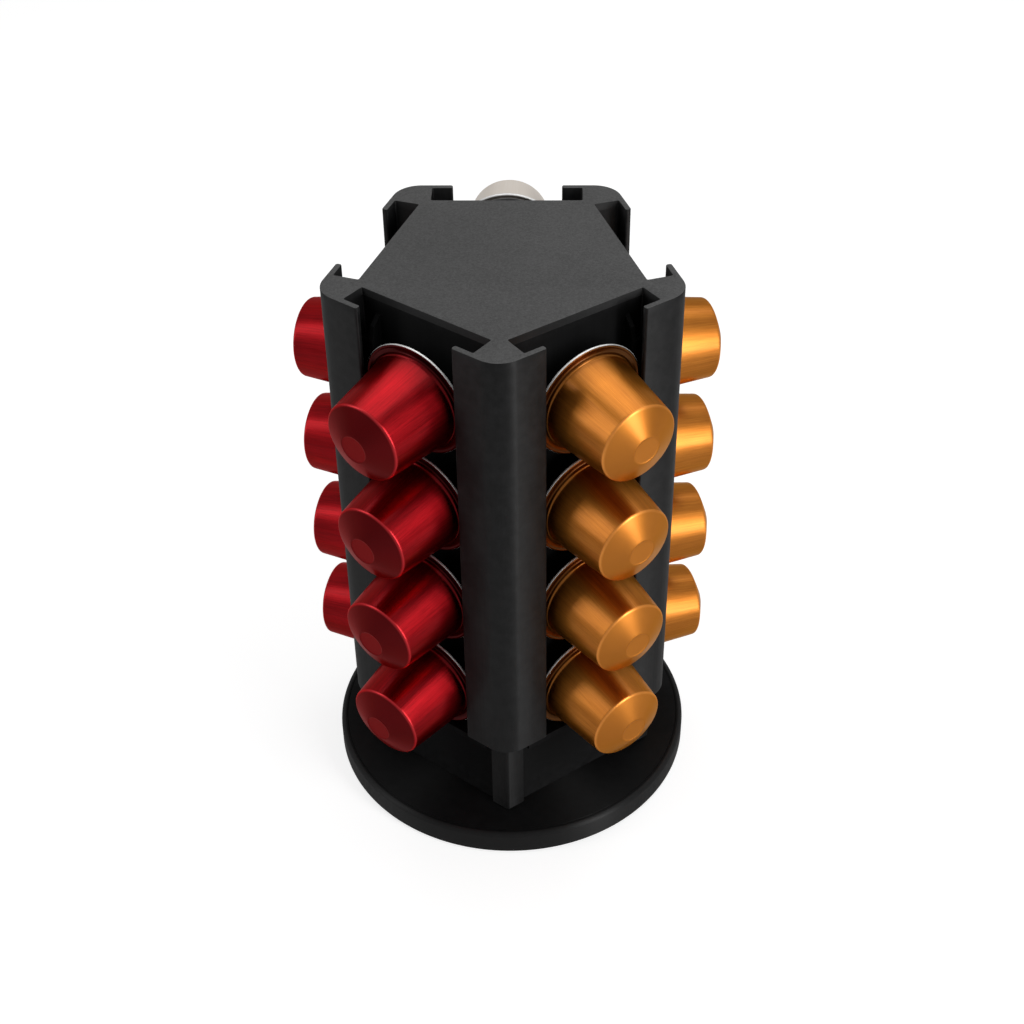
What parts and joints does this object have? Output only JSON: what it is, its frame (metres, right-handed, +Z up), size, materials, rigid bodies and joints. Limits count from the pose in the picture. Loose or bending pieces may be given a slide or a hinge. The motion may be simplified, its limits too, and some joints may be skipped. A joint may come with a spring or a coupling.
{
  "type": "coffee capsule dispenser",
  "caption": "Revolving five-sided capsule tower on a round base: each face is a channel that holds capsules by their rims and is filled from the top.",
  "frame": {"origin": "on the turning axis, on the surface that the base stands on", "axes": "+Z up along the turning axis; the front corner of the tower points along -Y, and +X is to the right of it"},
  "size_m": [0.136, 0.1322, 0.195],
  "materials": {
    "black_plastic": "satin, slightly grained",
    "grained_top": "matt, fine grain",
    "rubber": "matt",
    "steel": "bright",
    "nylon": "matt",
    "foil": "satin foil",
    "capsule_red": "satin anodised, bare rim",
    "capsule_amber": "satin anodised, bare rim",
    "capsule_champagne": "satin anodised, bare rim"
  },
  "bodies": {
    "base": {"base_disc": "black_plastic", "foot_ring": "rubber", "pivot_cover": "rubber", "bearing_lower_race": "steel", "pivot_bolt": "steel", "pivot_washer": "nylon", "lock_nut": "steel"},
    "bearing_cage": {"bearing_ball_cage": "nylon"},
    "tower": {"tower_floor": "black_plastic", "floor_screw_1": "steel", "floor_screw_2": "steel", "floor_screw_3": "steel", "bearing_upper_race": "steel", "tower_core": "black_plastic", "corner_rail_front": "black_plastic", "corner_rail_left": "black_plastic", "corner_rail_rear_left": "black_plastic", "corner_rail_rear_right": "black_plastic", "corner_rail_right": "black_plastic", "top_cap": "grained_top"},
    "capsule_front_left_4": {"capsule_cup_front_left_4": "capsule_red", "capsule_lid_front_left_4": "foil"},
    "capsule_front_left_3": {"capsule_cup_front_left_3": "capsule_red", "capsule_lid_front_left_3": "foil"},
    "capsule_front_left_2": {"capsule_cup_front_left_2": "capsule_red", "capsule_lid_front_left_2": "foil"},
    "capsule_front_left_1": {"capsule_cup_front_left_1": "capsule_red", "capsule_lid_front_left_1": "foil"},
    "capsule_rear_left_4": {"capsule_cup_rear_left_4": "capsule_red", "capsule_lid_rear_left_4": "foil"},
    "capsule_rear_left_3": {"capsule_cup_rear_left_3": "capsule_red", "capsule_lid_rear_left_3": "foil"},
    "capsule_rear_left_2": {"capsule_cup_rear_left_2": "capsule_red", "capsule_lid_rear_left_2": "foil"},
    "capsule_rear_left_1": {"capsule_cup_rear_left_1": "capsule_red", "capsule_lid_rear_left_1": "foil"},
    "capsule_rear_4": {"capsule_cup_rear_4": "capsule_champagne", "capsule_lid_rear_4": "foil"},
    "capsule_rear_3": {"capsule_cup_rear_3": "capsule_champagne", "capsule_lid_rear_3": "foil"},
    "capsule_rear_2": {"capsule_cup_rear_2": "capsule_champagne", "capsule_lid_rear_2": "foil"},
    "capsule_rear_1": {"capsule_cup_rear_1": "capsule_champagne", "capsule_lid_rear_1": "foil"},
    "capsule_rear_right_4": {"capsule_cup_rear_right_4": "capsule_amber", "capsule_lid_rear_right_4": "foil"},
    "capsule_rear_right_3": {"capsule_cup_rear_right_3": "capsule_amber", "capsule_lid_rear_right_3": "foil"},
    "capsule_rear_right_2": {"capsule_cup_rear_right_2": "capsule_amber", "capsule_lid_rear_right_2": "foil"},
    "capsule_rear_right_1": {"capsule_cup_rear_right_1": "capsule_amber", "capsule_lid_rear_right_1": "foil"},
    "capsule_front_right_4": {"capsule_cup_front_right_4": "capsule_amber", "capsule_lid_front_right_4": "foil"},
    "capsule_front_right_3": {"capsule_cup_front_right_3": "capsule_amber", "capsule_lid_front_right_3": "foil"},
    "capsule_front_right_2": {"capsule_cup_front_right_2": "capsule_amber", "capsule_lid_front_right_2": "foil"},
    "capsule_front_right_1": {"capsule_cup_front_right_1": "capsule_amber", "capsule_lid_front_right_1": "foil"}
  },
  "joints": [
    {"name": "tower_spin", "type": "hinge", "parent": "base", "child": "tower", "pos_m": [0, 0, 0.0103], "axis": [0, 0, 1], "continuous": true},
    {"name": "cage_spin", "type": "hinge", "parent": "base", "child": "bearing_cage", "pos_m": [0, 0, 0.0084], "axis": [0, 0, 1], "continuous": true},
    {"name": "lift_front_left_4", "type": "slide", "parent": "tower", "child": "capsule_front_left_4", "axis": [0, 0, 1], "range_m": [0, 0.1619]},
    {"name": "lift_front_left_3", "type": "slide", "parent": "capsule_front_left_4", "child": "capsule_front_left_3", "axis": [0, 0, 1], "range_m": [0, 0.1246]},
    {"name": "lift_front_left_2", "type": "slide", "parent": "capsule_front_left_3", "child": "capsule_front_left_2", "axis": [0, 0, 1], "range_m": [0, 0.0873]},
    {"name": "lift_front_left_1", "type": "slide", "parent": "capsule_front_left_2", "child": "capsule_front_left_1", "axis": [0, 0, 1], "range_m": [0, 0.05]},
    {"name": "lift_rear_left_4", "type": "slide", "parent": "tower", "child": "capsule_rear_left_4", "axis": [0, 0, 1], "range_m": [0, 0.1743]},
    {"name": "lift_rear_left_3", "type": "slide", "parent": "capsule_rear_left_4", "child": "capsule_rear_left_3", "axis": [0, 0, 1], "range_m": [0, 0.137]},
    {"name": "lift_rear_left_2", "type": "slide", "parent": "capsule_rear_left_3", "child": "capsule_rear_left_2", "axis": [0, 0, 1], "range_m": [0, 0.0997]},
    {"name": "lift_rear_left_1", "type": "slide", "parent": "capsule_rear_left_2", "child": "capsule_rear_left_1", "axis": [0, 0, 1], "range_m": [0, 0.0624]},
    {"name": "lift_rear_4", "type": "slide", "parent": "tower", "child": "capsule_rear_4", "axis": [0, 0, 1], "range_m": [0, 0.1557]},
    {"name": "lift_rear_3", "type": "slide", "parent": "capsule_rear_4", "child": "capsule_rear_3", "axis": [0, 0, 1], "range_m": [0, 0.1184]},
    {"name": "lift_rear_2", "type": "slide", "parent": "capsule_rear_3", "child": "capsule_rear_2", "axis": [0, 0, 1], "range_m": [0, 0.0811]},
    {"name": "lift_rear_1", "type": "slide", "parent": "capsule_rear_2", "child": "capsule_rear_1", "axis": [0, 0, 1], "range_m": [0, 0.0438]},
    {"name": "lift_rear_right_4", "type": "slide", "parent": "tower", "child": "capsule_rear_right_4", "axis": [0, 0, 1], "range_m": [0, 0.1743]},
    {"name": "lift_rear_right_3", "type": "slide", "parent": "capsule_rear_right_4", "child": "capsule_rear_right_3", "axis": [0, 0, 1], "range_m": [0, 0.137]},
    {"name": "lift_rear_right_2", "type": "slide", "parent": "capsule_rear_right_3", "child": "capsule_rear_right_2", "axis": [0, 0, 1], "range_m": [0, 0.0997]},
    {"name": "lift_rear_right_1", "type": "slide", "parent": "capsule_rear_right_2", "child": "capsule_rear_right_1", "axis": [0, 0, 1], "range_m": [0, 0.0624]},
    {"name": "lift_front_right_4", "type": "slide", "parent": "tower", "child": "capsule_front_right_4", "axis": [0, 0, 1], "range_m": [0, 0.1619]},
    {"name": "lift_front_right_3", "type": "slide", "parent": "capsule_front_right_4", "child": "capsule_front_right_3", "axis": [0, 0, 1], "range_m": [0, 0.1246]},
    {"name": "lift_front_right_2", "type": "slide", "parent": "capsule_front_right_3", "child": "capsule_front_right_2", "axis": [0, 0, 1], "range_m": [0, 0.0873]},
    {"name": "lift_front_right_1", "type": "slide", "parent": "capsule_front_right_2", "child": "capsule_front_right_1", "axis": [0, 0, 1], "range_m": [0, 0.05]}
  ],
  "couplings": [
    {"joint": "cage_spin", "follows": "tower_spin", "ratio": 0.5}
  ]
}
